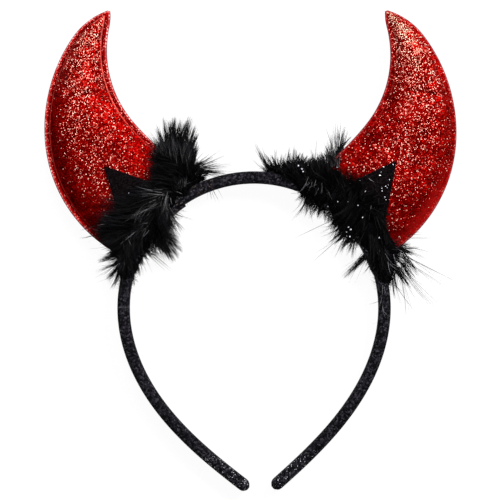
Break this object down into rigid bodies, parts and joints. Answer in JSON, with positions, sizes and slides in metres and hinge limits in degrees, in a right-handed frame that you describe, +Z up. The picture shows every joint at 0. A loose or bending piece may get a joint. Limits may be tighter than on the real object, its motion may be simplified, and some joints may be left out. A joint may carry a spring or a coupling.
{
  "type": "devil horns headband",
  "caption": "Springy cloth-wrapped headband with padded glitter horns, pointed glitter cloth tabs and fluffy marabou trim wound round each horn's base.",
  "frame": {"origin": "bottom centre of the whole bounding box, on the surface that the headband lies on", "axes": "+X to the right seen from the front, +Y from the band's tips to the crown and horns, +Z up out of the front face"},
  "size_m": [0.189, 0.2218, 0.0241],
  "materials": {
    "band_wrap": "matte woven wrap",
    "red_glitter": "glitter cloth, padded",
    "black_glitter": "glitter cloth",
    "black_fur": "soft marabou down"
  },
  "bodies": {
    "root": {"headband": "band_wrap", "horn_left": "red_glitter", "horn_right": "red_glitter", "glitter_tab_left": "black_glitter", "glitter_tab_right": "black_glitter", "fur_trim_left": "black_fur", "fur_trim_right": "black_fur"}
  },
  "joints": []
}
